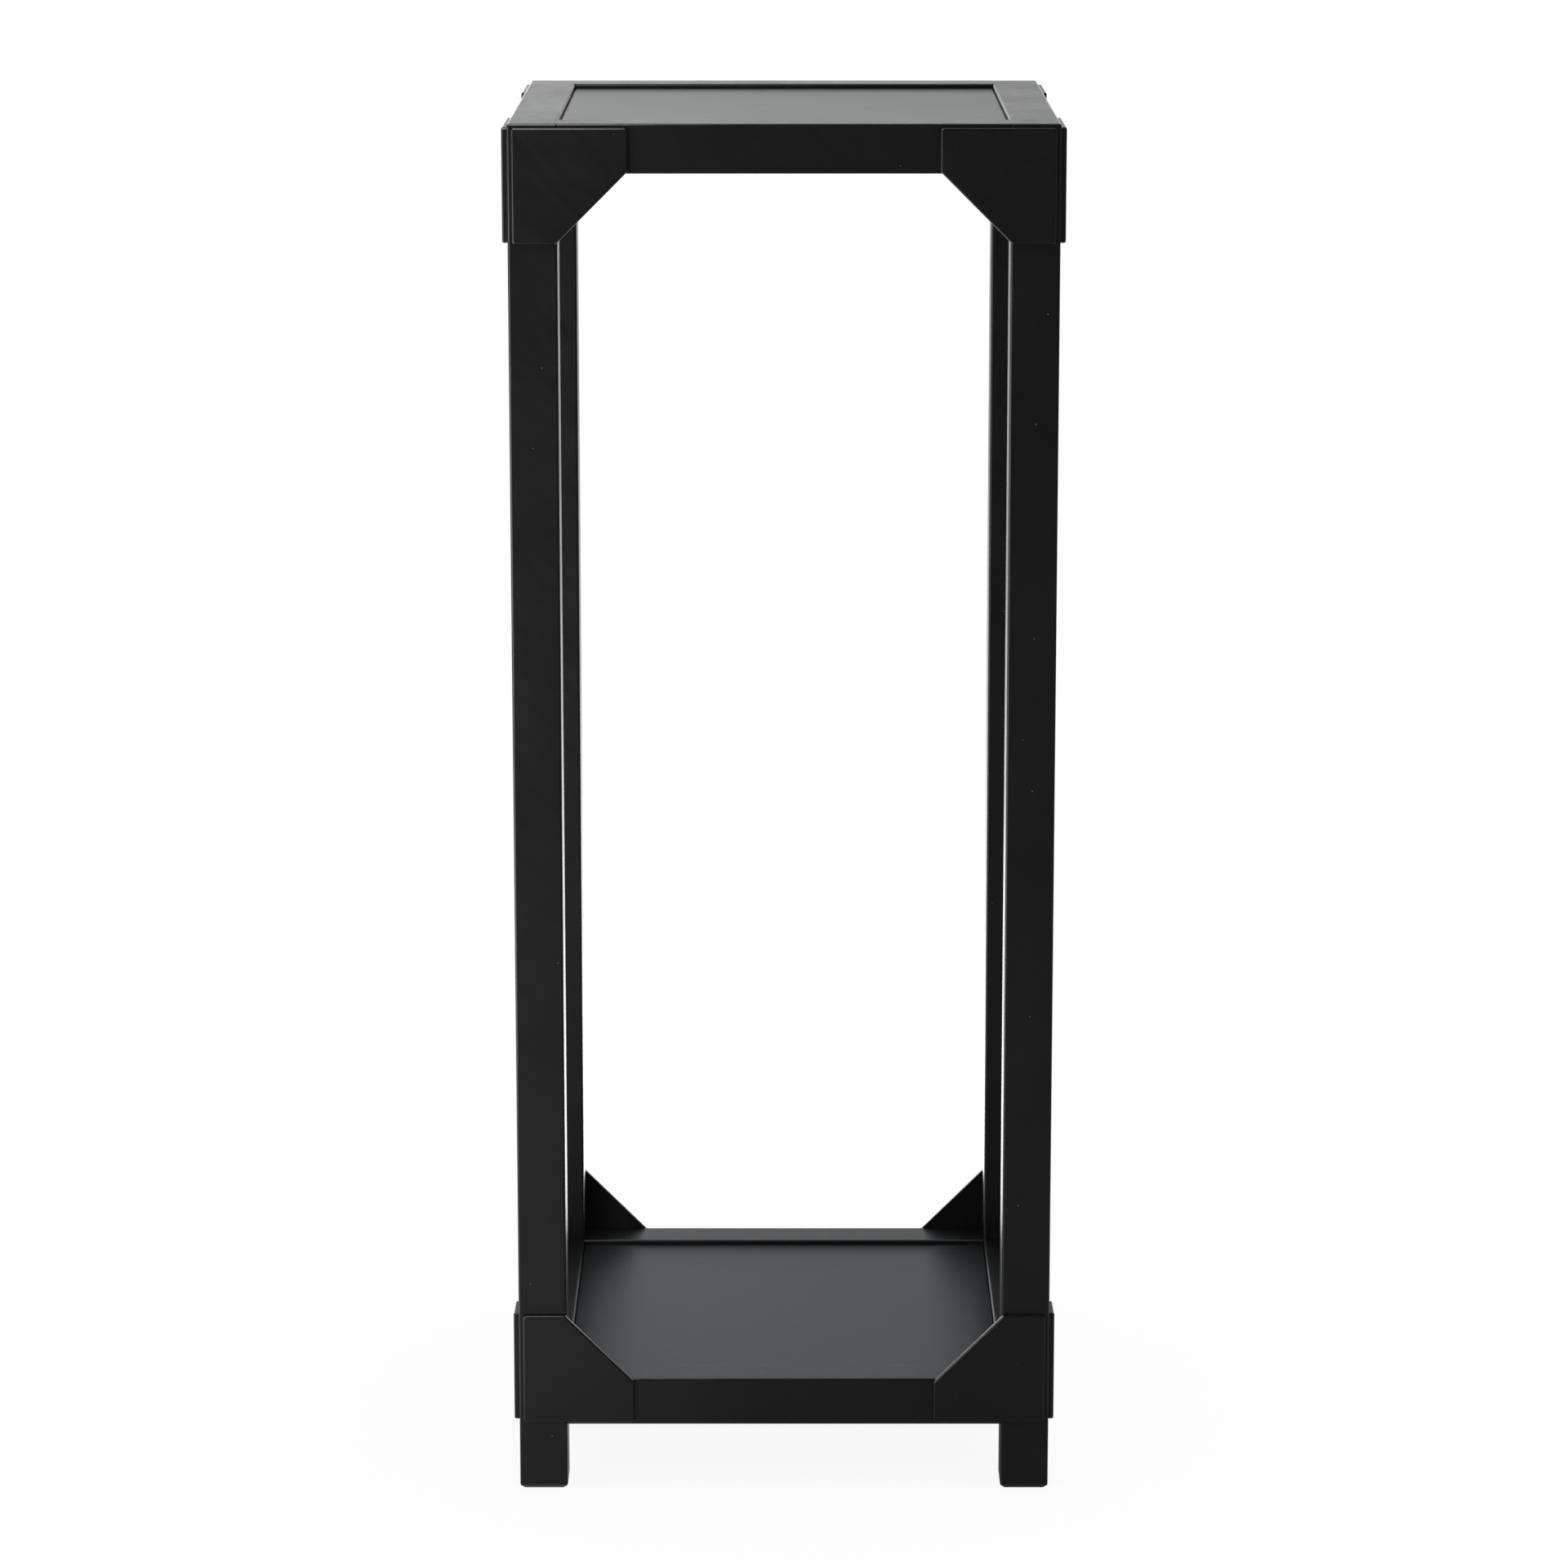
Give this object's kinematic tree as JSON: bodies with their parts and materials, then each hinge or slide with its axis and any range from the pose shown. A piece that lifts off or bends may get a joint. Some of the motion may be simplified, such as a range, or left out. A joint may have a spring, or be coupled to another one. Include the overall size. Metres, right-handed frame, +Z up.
{
  "type": "display plinth",
  "caption": "Tall square open-frame display plinth in black lacquered wood, with an inset top panel, a low inset shelf and cut-corner gusset plates.",
  "frame": {"origin": "on the floor, under the middle of the plinth", "axes": "+Z up; the front faces -Y; +X is to the right seen from the front"},
  "size_m": [0.356, 0.356, 0.9],
  "materials": {
    "frame_lacquer": "satin black lacquer over close-grained solid wood",
    "panel_lacquer": "satin black lacquer over smooth board",
    "gusset_lacquer": "satin black lacquer over thin plywood",
    "cleat_lacquer": "thin black lacquer over solid wood",
    "dowel_beech": "raw fluted beech",
    "screw_steel": "black phosphated steel",
    "pin_steel": "bright drawn wire"
  },
  "bodies": {
    "root": {"cleat_screws": "screw_steel", "gusset_pins": "pin_steel", "panel_screws": "screw_steel", "post_back_left": "frame_lacquer", "post_back_right": "frame_lacquer", "post_front_left": "frame_lacquer", "post_front_right": "frame_lacquer", "rail_dowels": "dowel_beech", "shelf_cleat_back": "cleat_lacquer", "shelf_cleat_front": "cleat_lacquer", "shelf_cleat_left": "cleat_lacquer", "shelf_cleat_right": "cleat_lacquer", "shelf_gusset_back_left": "gusset_lacquer", "shelf_gusset_back_right": "gusset_lacquer", "shelf_gusset_front_left": "gusset_lacquer", "shelf_gusset_front_right": "gusset_lacquer", "shelf_gusset_left_back": "gusset_lacquer", "shelf_gusset_left_front": "gusset_lacquer", "shelf_gusset_right_back": "gusset_lacquer", "shelf_gusset_right_front": "gusset_lacquer", "shelf_panel": "panel_lacquer", "shelf_rail_back": "frame_lacquer", "shelf_rail_front": "frame_lacquer", "shelf_rail_left": "frame_lacquer", "shelf_rail_right": "frame_lacquer", "top_cleat_back": "cleat_lacquer", "top_cleat_front": "cleat_lacquer", "top_cleat_left": "cleat_lacquer", "top_cleat_right": "cleat_lacquer", "top_gusset_back_left": "gusset_lacquer", "top_gusset_back_right": "gusset_lacquer", "top_gusset_front_left": "gusset_lacquer", "top_gusset_front_right": "gusset_lacquer", "top_gusset_left_back": "gusset_lacquer", "top_gusset_left_front": "gusset_lacquer", "top_gusset_right_back": "gusset_lacquer", "top_gusset_right_front": "gusset_lacquer", "top_panel": "panel_lacquer", "top_rail_back": "frame_lacquer", "top_rail_front": "frame_lacquer", "top_rail_left": "frame_lacquer", "top_rail_right": "frame_lacquer"}
  },
  "joints": []
}
